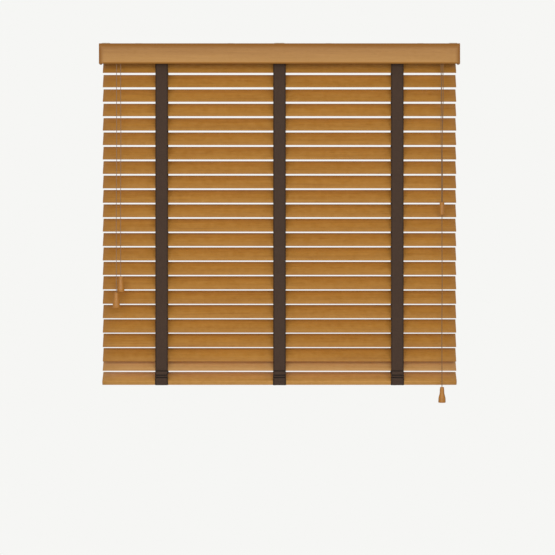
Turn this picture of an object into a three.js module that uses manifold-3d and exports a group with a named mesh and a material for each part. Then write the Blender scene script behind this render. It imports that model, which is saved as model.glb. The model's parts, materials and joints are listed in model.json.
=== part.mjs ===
// A wooden venetian blind with cloth ladder tapes, cord tilter and cord lock, hung from
// brackets at the top of a window reveal. Millimetres, +X to the right, -Y towards the
// room, +Z up. The origin is the top face of the centre bracket, so all of it hangs
// below z = 0. Slats, tapes and bottom rail stand at the tilt and height they rest in.
import * as THREE from "three";
import { mergeVertices } from "three/addons/utils/BufferGeometryUtils.js";
import Module from "manifold-3d";

const wasm = await Module();
wasm.setup();

// ---------- driving dimensions, mm ----------
const GAP = 0.3; // clearance kept between pieces that touch

const SLAT = { count: 22, length: 1080, width: 50, thick: 3, pitch: 44.1, tilt: 51.5 };
const FIRST_SLAT_Z = -70;
const LAST_SLAT = { z: -983.4, tilt: 40 }; // lies lower and flatter, close above the rail
const RAIL = { length: 1082, width: 52, thick: 15, z: -1024.3, tilt: 31.5 };
const ROUT = { long: 18, wide: 6, railLong: 16 }; // cord holes through slats and rail
const LADDER_X = { left: -360, middle: 0, right: 360 };
const LIFTED_SLATS = 6; // the lowest slats rise with the rail, each on its own rung

const HEADRAIL = { length: 1078, deep: 59, top: -2, tall: 40, wall: 1, lip: 5 };
const LADDER_CUT = { long: 42, deep: 56.8 }; // opening in the channel floor at each ladder
const SNOUT_CUT = { long: 34, deep: 12, tall: 16 }; // notch for tilter and lock
const BRACKET = { long: 23.5, deep: 63, tall: 44, plate: 1.5, screw: 2.5, screwY: 18 };
const CENTRE_BRACKET = { long: 30, tall: 12 };
const VALANCE = { length: 1099, thick: 7, top: -3, tall: 62, front: -49, return: 39 };

const ROD = { radius: 3.6, from: -490, to: 385, z: -20 };
const DRUM = { radius: 11, flange: 13.5, bore: 4, half: 15, lip: 2 };
const CORD_Y = -37; // the hanging cords clear the slats' front edges at every tilt
const TILTER = { x: -490, half: 15, pulley: 6.3, pulleyZ: -35.6 };
const LOCK = { x: 494.9, half: 15 };
const CASE = { front: -27.9, back: 20, top: -6, bottom: -40.6, wall: 2 };
const SNOUT = { front: -41.4, top: -27.5, bottom: -41.5, wall: 1.4 };

const TAPE = { wide: 38, thick: 1, off: 2, frontTop: -44, backTop: -6 };
const RUNG = { wide: 6, thick: 0.8, half: 24.2, aside: 8 };
const CORD = { radius: 0.9, sides: 8, insideZ: -37.8, bend: 9 };
const TILT_CORD = { radius: 0.9, steps: 24 };
const ACORN = { tall: 48, top: 6, bottom: 11.4 };
const ACORN_A_TOP = -760.8; // left acorn hangs the lower of the two
const ACORN_B_TOP = -711.7;
const ACORN_A_Y = -49; // and this far forward, so that the two pass each other
const EQUALISER = { top: -485.5, tall: 39.6, radius: 7.5, neck: 5 };
const TASSEL = { top: -1049.2, tall: 47.5, neck: 6, skirt: 11.3 };
const PULL_CORD_RADIUS = 1.2;

const radians = THREE.MathUtils.degToRad;

// ---------- materials ----------
const finish = (color, roughness, metalness = 0) =>
  new THREE.MeshStandardMaterial({ color, roughness, metalness });
const WOOD = finish(0xa8713a, 0.42);
const PALE_WOOD = finish(0xb98550, 0.4);
const TAPE_CLOTH = finish(0x4a382e, 0.9);
const CORD_YARN = finish(0x8a6a50, 0.85);
const STEEL = finish(0xb9b4aa, 0.4, 0.8);
const ROD_STEEL = finish(0x9a9ca0, 0.35, 0.9);
const PLASTIC = finish(0x6b4a30, 0.5);
const NYLON = finish(0xe6e1d6, 0.5);

// ---------- helpers ----------
const blind = new THREE.Group();

function add(name, geometry, material, place = {}) {
  const mesh = new THREE.Mesh(geometry, material);
  mesh.name = name;
  mesh.position.set(place.x ?? 0, place.y ?? 0, place.z ?? 0);
  mesh.rotation.x = radians(place.tilt ?? 0);
  blind.add(mesh);
  return mesh;
}

// A box from its lowest to its highest corner.
function block(low, high) {
  const size = high.map((h, i) => h - low[i]);
  const middle = high.map((h, i) => (h + low[i]) / 2);
  return new THREE.BoxGeometry(...size).translate(...middle);
}

// A round bar or hole along one axis, from one end to the other.
function bar(axis, radius, from, to, a, b, sides = 16) {
  const g = new THREE.CylinderGeometry(radius, radius, to - from, sides);
  const middle = (from + to) / 2;
  if (axis === "x") return g.rotateZ(Math.PI / 2).translate(middle, a, b);
  if (axis === "y") return g.translate(a, middle, b);
  return g.rotateX(Math.PI / 2).translate(a, b, middle);
}

function toSolid(geometry) {
  const bare = geometry.clone();
  bare.deleteAttribute("normal");
  bare.deleteAttribute("uv");
  const merged = mergeVertices(bare, 1e-4);
  return new wasm.Manifold(
    new wasm.Mesh({
      numProp: 3,
      vertProperties: merged.attributes.position.array,
      triVerts: new Uint32Array(merged.index.array),
    }),
  );
}

function toGeometry(solid) {
  const { vertProperties, triVerts } = solid.getMesh();
  const geometry = new THREE.BufferGeometry();
  geometry.setAttribute("position", new THREE.BufferAttribute(vertProperties, 3));
  geometry.setIndex(new THREE.BufferAttribute(triVerts, 1));
  geometry.computeVertexNormals();
  return geometry;
}

// Joins every piece of `joined`, then cuts every piece of `cuts` from it.
function carve(joined, cuts = []) {
  let solid = joined.map(toSolid).reduce((all, one) => all.add(one));
  for (const cut of cuts) solid = solid.subtract(toSolid(cut));
  return toGeometry(solid);
}

// Turns a solid extruded along Z from a (y, z) outline so that it runs along X.
const ALONG_X = new THREE.Matrix4().makeBasis(
  new THREE.Vector3(0, 1, 0),
  new THREE.Vector3(0, 0, 1),
  new THREE.Vector3(1, 0, 0),
);

function extrudeAlongX(outline, from, to) {
  const shape = new THREE.Shape(outline.map(([y, z]) => new THREE.Vector2(y, z)));
  const geometry = new THREE.ExtrudeGeometry(shape, { depth: to - from, bevelEnabled: false });
  return geometry.applyMatrix4(ALONG_X).translate(from, 0, 0);
}

// A slot outline with round ends, long in Y, as a hole for a shape in the XY plane.
function slotHole(x, long, wide) {
  const r = wide / 2;
  const reach = long / 2 - r;
  const hole = new THREE.Path();
  hole.absarc(x, reach, r, 0, Math.PI, false);
  hole.absarc(x, -reach, r, Math.PI, 2 * Math.PI, false);
  return hole;
}

// A flat board with its cord slots, centred on the origin.
function slottedBoard(length, width, thick, slotLong) {
  const [x, y] = [length / 2, width / 2];
  const shape = new THREE.Shape([
    new THREE.Vector2(-x, -y),
    new THREE.Vector2(x, -y),
    new THREE.Vector2(x, y),
    new THREE.Vector2(-x, y),
  ]);
  for (const ladder of Object.values(LADDER_X)) {
    shape.holes.push(slotHole(ladder, slotLong, ROUT.wide));
  }
  const board = new THREE.ExtrudeGeometry(shape, {
    depth: thick,
    bevelEnabled: false,
    curveSegments: 5,
  });
  return board.translate(0, 0, -thick / 2);
}

// A cord along points, as a many-sided tube.
function cordAlong(points, radius, steps) {
  const path = new THREE.CatmullRomCurve3(
    points.map((p) => new THREE.Vector3(...p)),
    false,
    "centripetal",
  );
  const ring = Array.from({ length: CORD.sides }, (_, i) => {
    const angle = (i / CORD.sides) * 2 * Math.PI;
    return new THREE.Vector2(radius * Math.cos(angle), radius * Math.sin(angle));
  });
  return new THREE.ExtrudeGeometry(new THREE.Shape(ring), { extrudePath: path, steps });
}

// A turned piece on a vertical axis, from (radius, height) points, lowest first.
function turned(profile, sides = 20) {
  const points = profile.map(([r, z]) => new THREE.Vector2(r, z));
  return new THREE.LatheGeometry(points, sides).rotateX(Math.PI / 2);
}

// ---------- headrail, brackets and valance ----------
function headrail() {
  const [y, inner] = [HEADRAIL.deep / 2, HEADRAIL.deep / 2 - HEADRAIL.wall];
  const [top, low] = [HEADRAIL.top, HEADRAIL.top - HEADRAIL.tall];
  const w = HEADRAIL.wall;
  const channel = extrudeAlongX(
    [
      [-y, low], [y, low], [y, top], [inner - HEADRAIL.lip, top],
      [inner - HEADRAIL.lip, top - w], [inner, top - w], [inner, low + w], [-inner, low + w],
      [-inner, top - w], [HEADRAIL.lip - inner, top - w], [HEADRAIL.lip - inner, top], [-y, top],
    ],
    -HEADRAIL.length / 2,
    HEADRAIL.length / 2,
  );
  const cuts = Object.values(LADDER_X).map((x) =>
    block(
      [x - LADDER_CUT.long / 2, -LADDER_CUT.deep / 2, low - 1],
      [x + LADDER_CUT.long / 2, LADDER_CUT.deep / 2, low + 2 * w],
    ),
  );
  for (const x of [TILTER.x, LOCK.x]) {
    cuts.push(
      block(
        [x - SNOUT_CUT.long / 2, -y - 1, low - 1],
        [x + SNOUT_CUT.long / 2, -y + SNOUT_CUT.deep, low + SNOUT_CUT.tall],
      ),
    );
  }
  add("headrail", carve([channel], cuts), STEEL);
}

// Box bracket: four plates and an outer end plate round one end of the headrail.
function endBracket(name, side) {
  const outer = HEADRAIL.length / 2 + 1 + BRACKET.plate;
  const inner = outer - BRACKET.long;
  const [y, p] = [BRACKET.deep / 2, BRACKET.plate];
  const [from, to] = side > 0 ? [inner, outer] : [-outer, -inner];
  const [holeFrom, holeTo] = side > 0 ? [inner - 1, outer - p] : [-outer + p, -inner + 1];
  const box = block([from, -y, -BRACKET.tall], [to, y, 0]);
  const inside = block([holeFrom, -y + p, -BRACKET.tall + p], [holeTo, y - p, -p]);
  const middle = (from + to) / 2;
  const screws = [-BRACKET.screwY, BRACKET.screwY].map((at) =>
    bar("z", BRACKET.screw, -2 * p, 1, middle, at, 12),
  );
  add(name, carve([box], [inside, ...screws]), STEEL);
}

// Centre bracket: a bridge over the channel whose two cheeks grip its edges.
function centreBracket() {
  const [x, y, p] = [CENTRE_BRACKET.long / 2, BRACKET.deep / 2, BRACKET.plate];
  const bridge = block([-x, -y, -CENTRE_BRACKET.tall], [x, y, 0]);
  const inside = block([-x - 1, -y + p, -CENTRE_BRACKET.tall - 1], [x + 1, y - p, -p]);
  const screws = [-BRACKET.screwY, BRACKET.screwY].map((at) =>
    bar("z", BRACKET.screw, -2 * p, 1, 0, at, 12),
  );
  add("bracket_centre", carve([bridge], [inside, ...screws]), STEEL);
}

// Valance board with its two mitred returns, glued into one piece.
function valance() {
  const [x, t] = [VALANCE.length / 2, VALANCE.thick];
  const [front, back] = [VALANCE.front, VALANCE.front + VALANCE.return];
  const outline = [
    [-x, front], [x, front], [x, back], [x - t, back],
    [x - t, front + t], [t - x, front + t], [t - x, back], [-x, back],
  ];
  const shape = new THREE.Shape(outline.map(([a, b]) => new THREE.Vector2(a, b)));
  const board = new THREE.ExtrudeGeometry(shape, { depth: VALANCE.tall, bevelEnabled: false });
  add("valance", board.translate(0, 0, VALANCE.top - VALANCE.tall), WOOD);
}

// ---------- tilt works ----------
function tiltRod() {
  add("tilt_rod", bar("x", ROD.radius, ROD.from, ROD.to, 0, ROD.z, 6), ROD_STEEL);
}

function tiltDrum(name, x) {
  const [h, lip] = [DRUM.half, DRUM.lip];
  const profile = [
    [DRUM.bore, -h], [DRUM.flange, -h], [DRUM.flange, lip - h], [DRUM.radius, lip - h],
    [DRUM.radius, h - lip], [DRUM.flange, h - lip], [DRUM.flange, h], [DRUM.bore, h],
    [DRUM.bore, -h],
  ];
  const drum = turned(profile, 16).rotateY(Math.PI / 2);
  add(name, drum, NYLON, { x, z: ROD.z });
}

// The case shared by tilter and cord lock: a body inside the channel, and a snout that
// comes out of the notch at its lower front corner, open below for the cords.
function caseWithSnout(x, half) {
  const w = CASE.wall;
  const body = block([x - half, CASE.front, CASE.bottom], [x + half, CASE.back, CASE.top]);
  const snout = block([x - half, SNOUT.front, CASE.bottom], [x + half, CASE.front + 1, SNOUT.top]);
  const mouth = block(
    [x - half + w, SNOUT.front + SNOUT.wall, SNOUT.bottom],
    [x + half - w, CASE.front, SNOUT.top - w],
  );
  return { body, snout, mouth };
}

function tilter() {
  const { body, snout, mouth } = caseWithSnout(TILTER.x, TILTER.half);
  const rodHole = bar("x", ROD.radius + 0.5, TILTER.x - 4, TILTER.x + 20, 0, ROD.z, 12);
  const shaftHole = bar("y", 3.4, SNOUT.front + 3, -9, TILTER.x, TILTER.pulleyZ, 12);
  const shape = carve([body, snout], [mouth, rodHole, shaftHole]);
  add("tilter_case", shape, PLASTIC);
}

// Pulley with its short shaft, turning on a front-to-back axis.
function tilterPulley() {
  const r = TILTER.pulley;
  const profile = [
    [0, -5], [r - 0.6, -5], [r - 0.6, -4], [r - 1.7, -2.4], [r - 0.6, -0.8],
    [r - 0.6, 0], [2.6, 0], [2.6, 22], [0, 22],
  ];
  const pulley = turned(profile, 20).rotateX(-Math.PI / 2);
  add("tilter_pulley", pulley, NYLON, { x: TILTER.x, y: CORD_Y + 2.4, z: TILTER.pulleyZ });
}

function cordLock() {
  const { body, snout, mouth } = caseWithSnout(LOCK.x, LOCK.half);
  const well = block(
    [LOCK.x - LOCK.half + 3, CASE.front - 1, -36],
    [LOCK.x + LOCK.half - 3, CASE.back - 6, CASE.top + 1],
  );
  add("cord_lock", carve([body, snout], [mouth, well]), PLASTIC);
}

// Toothed cam that bites the lift cords against the floor of the lock.
function cordLockPawl() {
  const outline = [
    [-6, 5], [-2, 8], [3, 8], [7, 4], [6, -3], [2, -8], [0, -6.4], [-2, -8.6],
    [-4, -6.6], [-6, -8.2], [-8, -4],
  ];
  const cam = extrudeAlongX(outline, -8, 8);
  add("cord_lock_pawl", cam, ROD_STEEL, { x: LOCK.x, y: -10, z: -24 });
}

// ---------- slats, rungs and bottom rail ----------
const slatName = (k) => "slat_" + String(k).padStart(2, "0");

function slatPlace(k) {
  if (k === SLAT.count) return LAST_SLAT;
  return { z: FIRST_SLAT_Z - SLAT.pitch * (k - 1), tilt: SLAT.tilt };
}

function slats() {
  for (let k = 1; k <= SLAT.count; k++) {
    const board = slottedBoard(SLAT.length, SLAT.width, SLAT.thick, ROUT.long);
    add(slatName(k), board, WOOD, slatPlace(k));
  }
}

// The middle ladder's rungs under the slats that rise with the rail. Neighbours pass
// the lift cord on opposite sides.
function rungs() {
  for (let k = SLAT.count - LIFTED_SLATS + 1; k <= SLAT.count; k++) {
    const x = k % 2 ? -RUNG.aside : RUNG.aside;
    const under = -SLAT.thick / 2 - GAP;
    const band = block(
      [x - RUNG.wide / 2, -RUNG.half, under - RUNG.thick],
      [x + RUNG.wide / 2, RUNG.half, under],
    );
    add("ladder_rung_" + k, band, TAPE_CLOTH, slatPlace(k));
  }
}

function bottomRail() {
  const board = slottedBoard(RAIL.length, RAIL.width, RAIL.thick, ROUT.railLong);
  add("bottom_rail", board, WOOD, RAIL);
}

// ---------- ladder tapes ----------
// A point of a tilted board: `along` its width towards the back, `up` off its face.
function onBoard(place, along, up) {
  const a = radians(place.tilt);
  return [
    along * Math.cos(a) - up * Math.sin(a),
    place.z + along * Math.sin(a) + up * Math.cos(a),
  ];
}

// A cloth band of even thickness whose inner side follows (y, z) points.
function band(name, inner, outward, x) {
  const outer = inner.map(([y, z]) => [y + outward * TAPE.thick, z]).reverse();
  add(name, extrudeAlongX([...inner, ...outer], x - TAPE.wide / 2, x + TAPE.wide / 2), TAPE_CLOTH);
}

function tapes() {
  const first = slatPlace(1);
  const before = slatPlace(SLAT.count - 1);
  const [slatHalf, railHalf] = [SLAT.width / 2, RAIL.width / 2];
  const lastUp = SLAT.thick / 2;
  const frontY = onBoard(first, -slatHalf, 0)[0] - TAPE.off;
  const backY = -frontY;
  const clear = 0.9;
  const frontOfLast = onBoard(LAST_SLAT, -slatHalf, lastUp);
  const frontOfRail = onBoard(RAIL, -railHalf, RAIL.thick / 2);
  const underFront = onBoard(RAIL, -railHalf, -RAIL.thick / 2);
  const front = [
    [frontY, TAPE.frontTop],
    [frontY, onBoard(before, -slatHalf, 0)[1]],
    [frontOfLast[0] - clear, frontOfLast[1]],
    [frontOfRail[0] - clear, frontOfRail[1]],
    [underFront[0] - clear, underFront[1] + 1],
  ];
  const backOfLast = onBoard(LAST_SLAT, slatHalf, -lastUp);
  const backOfRail = onBoard(RAIL, railHalf, -RAIL.thick / 2);
  const back = [
    [backY, TAPE.backTop],
    [backY, onBoard(before, slatHalf, 0)[1]],
    [backOfLast[0] + clear, backOfLast[1]],
    [backOfRail[0] + clear, backOfRail[1]],
  ];
  for (const [side, x] of Object.entries(LADDER_X)) {
    band("tape_front_" + side, front, -1, x);
    band("tape_back_" + side, back, 1, x);
  }
}

// ---------- cords ----------
// Each lift cord rises through the slats, turns under its drum and runs inside the
// channel to the lock, beside the cords that join it on the way.
function liftCords() {
  const runY = { left: 5, middle: 2.5, right: 0 };
  const lockSide = LOCK.x - LOCK.half - GAP;
  const railTop = onBoard(RAIL, 0, RAIL.thick / 2)[1];
  for (const [side, x] of Object.entries(LADDER_X)) {
    const bottom = side === "middle" ? railTop + 6 : railTop + 2;
    const [z, r] = [CORD.insideZ, CORD.bend];
    const points = [
      [x, 0, bottom],
      [x, 0, (bottom + z) / 2],
      [x, 0, z - 3 * r],
      [x, 0, z - r],
      [x + r * 0.3, runY[side] * 0.3, z - r * 0.3],
      [x + r, runY[side], z],
      [x + 3 * r, runY[side], z],
      [(x + lockSide) / 2, runY[side], z],
      [lockSide, runY[side], z],
    ];
    add("lift_cord_" + side, cordAlong(points, CORD.radius, 60), CORD_YARN);
  }
}

// The last of the middle lift cord, which ends in a knot inside the rail.
function liftCordEnd() {
  const top = onBoard(RAIL, 0, RAIL.thick / 2)[1] + 6 - GAP;
  const [r, knot] = [CORD.radius, RAIL.z - 4];
  const profile = [
    [0, knot - 2.5], [1.6, knot - 2], [2.2, knot], [1.6, knot + 2], [r, knot + 2.8],
    [r, top], [0, top],
  ];
  add("lift_cord_end", turned(profile, 12), CORD_YARN);
}

function hangingCord(name, x, from, to, radius, endY = CORD_Y) {
  const points = [0, 1 / 3, 2 / 3, 1].map((t) => [
    x, CORD_Y + (endY - CORD_Y) * t, from + (to - from) * t,
  ]);
  add(name, cordAlong(points, radius, TILT_CORD.steps), CORD_YARN);
}

// Flared wooden acorn: narrow neck, straight flare, rounded foot.
function acorn(name, x, topZ, { tall, top, bottom }, y = CORD_Y) {
  const profile = [
    [0, -tall], [bottom * 0.78, -tall], [bottom * 0.95, -tall + 1.6], [bottom, -tall + 4.5],
    [bottom * 0.93, -tall * 0.7], [top + 1.2, -tall * 0.3], [top, -2], [top * 0.8, 0], [0, 0],
  ];
  add(name, turned(profile), PALE_WOOD, { x, y, z: topZ });
}

function tiltCords() {
  const from = TILTER.pulleyZ - 4;
  const [xa, xb] = [TILTER.x - TILTER.pulley, TILTER.x + TILTER.pulley];
  hangingCord("tilt_cord_a", xa, from, ACORN_A_TOP + GAP, TILT_CORD.radius, ACORN_A_Y);
  hangingCord("tilt_cord_b", xb, from, ACORN_B_TOP + GAP, TILT_CORD.radius);
  acorn("tilt_acorn_a", xa, ACORN_A_TOP, ACORN, ACORN_A_Y);
  acorn("tilt_acorn_b", xb, ACORN_B_TOP, ACORN);
}

function liftPull() {
  const { top, tall, radius, neck } = EQUALISER;
  hangingCord("pull_cord_upper", LOCK.x, -33, top + GAP, 2);
  const barrel = [
    [0, -tall], [neck, -tall], [radius, -tall + 4], [radius, -4], [neck, 0], [0, 0],
  ];
  add("cord_equaliser", turned(barrel), PALE_WOOD, { x: LOCK.x, y: CORD_Y, z: top });
  hangingCord("pull_cord_lower", LOCK.x, top - tall - GAP, TASSEL.top + GAP, PULL_CORD_RADIUS);
  acorn("lift_tassel", LOCK.x, TASSEL.top, {
    tall: TASSEL.tall, top: TASSEL.neck, bottom: TASSEL.skirt,
  });
}

// ---------- the blind ----------
headrail();
endBracket("bracket_left", -1);
endBracket("bracket_right", 1);
centreBracket();
valance();
tiltRod();
for (const [side, x] of Object.entries(LADDER_X)) tiltDrum("tilt_drum_" + side, x);
tilter();
tilterPulley();
cordLock();
cordLockPawl();
slats();
rungs();
bottomRail();
tapes();
liftCords();
liftCordEnd();
tiltCords();
liftPull();

export default blind;
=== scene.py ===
"""A wooden venetian blind: routed valance, oak slats on cloth ladder tapes, bottom rail,
two tilt cords with acorns and a lift cord with its tassel. Metres, +X right, +Z up,
the room on the -Y side, hung from z = 0."""

import json
import math
import random

import bmesh
import bpy
from mathutils import Matrix, Vector, noise


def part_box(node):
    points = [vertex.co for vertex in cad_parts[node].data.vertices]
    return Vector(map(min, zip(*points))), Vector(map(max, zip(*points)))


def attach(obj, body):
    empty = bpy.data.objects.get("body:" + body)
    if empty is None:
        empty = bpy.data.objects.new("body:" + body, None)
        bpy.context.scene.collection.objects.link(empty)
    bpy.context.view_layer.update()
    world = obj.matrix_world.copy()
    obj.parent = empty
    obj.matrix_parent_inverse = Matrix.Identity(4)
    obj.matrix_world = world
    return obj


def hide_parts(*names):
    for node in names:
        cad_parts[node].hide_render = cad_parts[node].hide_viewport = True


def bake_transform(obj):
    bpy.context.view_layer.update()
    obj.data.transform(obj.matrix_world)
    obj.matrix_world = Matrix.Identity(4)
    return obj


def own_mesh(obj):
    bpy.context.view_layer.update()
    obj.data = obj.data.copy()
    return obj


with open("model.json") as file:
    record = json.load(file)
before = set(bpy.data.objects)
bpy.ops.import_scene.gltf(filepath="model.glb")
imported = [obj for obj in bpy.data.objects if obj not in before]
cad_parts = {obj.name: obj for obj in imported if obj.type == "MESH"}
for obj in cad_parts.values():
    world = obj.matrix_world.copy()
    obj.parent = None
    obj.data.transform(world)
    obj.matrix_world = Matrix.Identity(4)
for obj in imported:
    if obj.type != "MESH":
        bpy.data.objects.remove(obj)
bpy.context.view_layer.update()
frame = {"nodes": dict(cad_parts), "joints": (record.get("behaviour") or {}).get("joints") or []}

chance = random.Random(22)

# ---------- sizes, in metres, and angles, in degrees ----------
SLAT_COUNT = 22
SLAT = {"length": 1.080, "width": 0.050, "thick": 0.003, "arris": 0.0007}
SLAT_TILT = 51.5
LAST_SLAT_TILT = 40
FIRST_LIFTED_SLAT = 17
RAIL = {"length": 1.082, "width": 0.052, "thick": 0.015, "arris": 0.0022}
RAIL_TILT = 31.5
ROUT = {"slat": 0.018, "rail": 0.016, "wide": 0.006}
LADDERS = {"left": -0.360, "middle": 0.0, "right": 0.360}

VALANCE = {"top": -0.003, "tall": 0.062, "front": -0.049, "thick": 0.007, "edge": 0.0037, "back": -0.010}
VALANCE_HALF = 0.5495
MARGIN = {"end": 0.0160, "top": 0.0200, "bottom": 0.0060}

WEB = {"width": 0.038, "thick": 0.001, "y": 0.01806, "front_top": -0.044, "back_top": -0.006, "clear": 0.0014}
WEB_SPLIT = -0.731
SPREAD = {"from": -0.995, "share": 1.25}
CREASES = {"below_slat": (0.0024, 0.0154, 0.0226), "deep": 0.0034, "bulge": 0.0024, "sharp": 0.0016}
RUNG = {"width": 0.006, "thick": 0.0008, "aside": 0.008}

KNOT = {"tilt": 0.0022, "pull": 0.0026, "lift": 0.0022}
NECK = {"acorn": 0.0070, "barrel": 0.005, "tassel": 0.0060}
SWAY = 0.0005
CLIP_PLACES = (-0.43, -0.15, 0.15, 0.43)
CRADLE = {"reach": 0.0185, "thick": 0.003, "out": 0.0122, "slot": 0.0046, "top": -0.0125, "overlap": 0.0006}
DOOR = {"thick": 0.0011, "tab": 0.010, "tab_out": 0.0034, "arris": 0.0004}
ARRIS_STEPS, CORNER_STEPS, CORD_STEPS = 4, 6, 24

CORD_Y = -0.037
CORD_THICK = 0.0018
PULL_THICK = 0.0024
LIFT_RUN_Z = -0.0378
ROD_Z = -0.020
CHANNEL_FLOOR = -0.042
CHANNEL_THICK = 0.0015

EYE = Vector((-0.0061, -6.8, -0.7154))
VIEW_WIDTH = 1.6997
SENSOR = 36.0
FLOOR_Z = -1.9


def dye(red, green, blue):
    """A colour named by its 0-255 values, as the linear colour that shaders mix."""
    def straight(value):
        value /= 255
        if value <= 0.04045:
            return value / 12.92
        return ((value + 0.055) / 1.055) ** 2.4

    return (straight(red), straight(green), straight(blue), 1.0)


# ---------- node helpers ----------
def wire(tree, value, socket):
    if isinstance(value, bpy.types.NodeSocket):
        tree.links.new(value, socket)
    else:
        socket.default_value = value


def place(tree, kind, inputs=None, **settings):
    """Adds a node, sets it up, and fills its inputs with values or other nodes' outputs."""
    node = tree.nodes.new(kind)
    for name, value in settings.items():
        setattr(node, name, value)
    for name, value in (inputs or {}).items():
        wire(tree, value, node.inputs[name])
    return node


def maths(tree, operation, first, second=0.0, clamp=False):
    inputs = {0: first, 1: second}
    return place(tree, "ShaderNodeMath", inputs, operation=operation, use_clamp=clamp).outputs[0]


def times(tree, first, second):
    return maths(tree, "MULTIPLY", first, second)


def stretched(tree, vector, scale):
    """The position with each axis multiplied, so that what is drawn on it gets longer or finer."""
    inputs = {0: vector, 1: scale}
    return place(tree, "ShaderNodeVectorMath", inputs, operation="MULTIPLY").outputs[0]


def blotches(tree, vector, scale=1.0, detail=2.0, roughness=0.5):
    inputs = {"Vector": vector, "Scale": scale, "Detail": detail, "Roughness": roughness}
    return place(tree, "ShaderNodeTexNoise", inputs).outputs["Fac"]


def ranged(tree, value, low, high, to_low=0.0, to_high=1.0):
    inputs = {"Value": value, 1: low, 2: high, 3: to_low, 4: to_high}
    return place(tree, "ShaderNodeMapRange", inputs).outputs["Result"]


def blended(tree, share, first, second):
    node = place(tree, "ShaderNodeMix", data_type="RGBA")
    wire(tree, share, node.inputs[0])
    wire(tree, first, node.inputs[6])
    wire(tree, second, node.inputs[7])
    return node.outputs[2]


def start_group(name, inputs, outputs):
    """A new shader group with named sockets; gives it, its input node and its output node."""
    group = bpy.data.node_groups.new(name, "ShaderNodeTree")
    for label, (kind, value) in inputs.items():
        socket = group.interface.new_socket(name=label, in_out="INPUT", socket_type=kind)
        if value is not None:
            socket.default_value = value
    for label, kind in outputs.items():
        group.interface.new_socket(name=label, in_out="OUTPUT", socket_type=kind)
    return group, group.nodes.new("NodeGroupInput"), group.nodes.new("NodeGroupOutput")


VECTOR, COLOUR, NUMBER = "NodeSocketVector", "NodeSocketColor", "NodeSocketFloat"


# ---------- effects shared by the materials ----------
def oak_grain_group():
    """Stained oak: slow figure, long streaks and short open pores, all running along X."""
    group, given, made = start_group(
        "Oak grain",
        {
            "Along grain": (VECTOR, None),
            "Pale wood": (COLOUR, dye(200, 150, 95)),
            "Deep wood": (COLOUR, dye(120, 75, 30)),
            "Figure": (NUMBER, 0.5),
            "Streaks": (NUMBER, 0.5),
            "Pores": (NUMBER, 0.5),
        },
        {"Colour": COLOUR, "Lacquer": NUMBER, "Pore depth": NUMBER},
    )
    at = given.outputs["Along grain"]
    figure = blotches(group, stretched(group, at, (3.0, 70.0, 70.0)), 1.0, 3.0, 0.55)
    streak = blotches(group, stretched(group, at, (7.0, 420.0, 420.0)), 1.0, 3.0, 0.6)
    pore = blotches(group, stretched(group, at, (55.0, 1500.0, 1500.0)), 1.0, 1.0, 0.5)
    open_pore = ranged(group, pore, 0.34, 0.44, 1.0, 0.0)
    figure_part = times(group, ranged(group, figure, 0.3, 0.7), given.outputs["Figure"])
    streak_part = times(group, ranged(group, streak, 0.3, 0.7), given.outputs["Streaks"])
    pore_part = times(group, open_pore, given.outputs["Pores"])
    darkness = maths(group, "ADD", figure_part, streak_part)
    darkness = maths(group, "ADD", darkness, pore_part, clamp=True)
    pale, deep = given.outputs["Pale wood"], given.outputs["Deep wood"]
    wire(group, blended(group, darkness, pale, deep), made.inputs["Colour"])
    wire(group, ranged(group, darkness, 0.0, 1.0, 0.36, 0.5), made.inputs["Lacquer"])
    height = maths(group, "SUBTRACT", times(group, streak, 0.3), open_pore)
    wire(group, height, made.inputs["Pore depth"])
    return group


def rubbed_edge_group():
    """A mask that finds corners standing proud, broken up as handling breaks them."""
    group, given, made = start_group(
        "Rubbed edges",
        {"Position": (VECTOR, None), "Reach": (NUMBER, 0.5), "Patchiness": (NUMBER, 60.0)},
        {"Mask": NUMBER},
    )
    proud = place(group, "ShaderNodeNewGeometry").outputs["Pointiness"]
    edge = ranged(group, proud, 0.52, 0.60)
    patch = blotches(group, given.outputs["Position"], given.outputs["Patchiness"], 3.0, 0.6)
    broken = ranged(group, patch, 0.35, 0.65)
    mask = times(group, times(group, edge, broken), given.outputs["Reach"])
    wire(group, mask, made.inputs["Mask"])
    return group


def dust_group():
    """Settled dust: a thin patchy veil on the faces that look up."""
    group, given, made = start_group(
        "Settled dust",
        {"Position": (VECTOR, None), "Amount": (NUMBER, 0.3)},
        {"Mask": NUMBER},
    )
    normal = place(group, "ShaderNodeNewGeometry").outputs["Normal"]
    up = place(group, "ShaderNodeSeparateXYZ", {0: normal}).outputs["Z"]
    faces_up = ranged(group, up, 0.55, 0.98)
    drift = ranged(group, blotches(group, given.outputs["Position"], 38.0, 4.0, 0.65), 0.3, 0.75)
    mask = times(group, faces_up, drift)
    wire(group, times(group, mask, given.outputs["Amount"]), made.inputs["Mask"])
    return group


def painted_end_shade_group():
    """A mask that rises towards a board's two ends, for the painted shade there."""
    group, given, made = start_group(
        "Painted end shade",
        {"Position": (VECTOR, None), "Half length": (NUMBER, 0.54), "Reach": (NUMBER, 0.06)},
        {"Mask": NUMBER},
    )
    along = place(group, "ShaderNodeSeparateXYZ", {0: given.outputs["Position"]}).outputs["X"]
    past = maths(group, "SUBTRACT", given.outputs["Half length"], maths(group, "ABSOLUTE", along))
    near = maths(group, "SUBTRACT", 1.0, maths(group, "DIVIDE", past, given.outputs["Reach"]), clamp=True)
    wire(group, times(group, near, near), made.inputs["Mask"])
    return group


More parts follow.
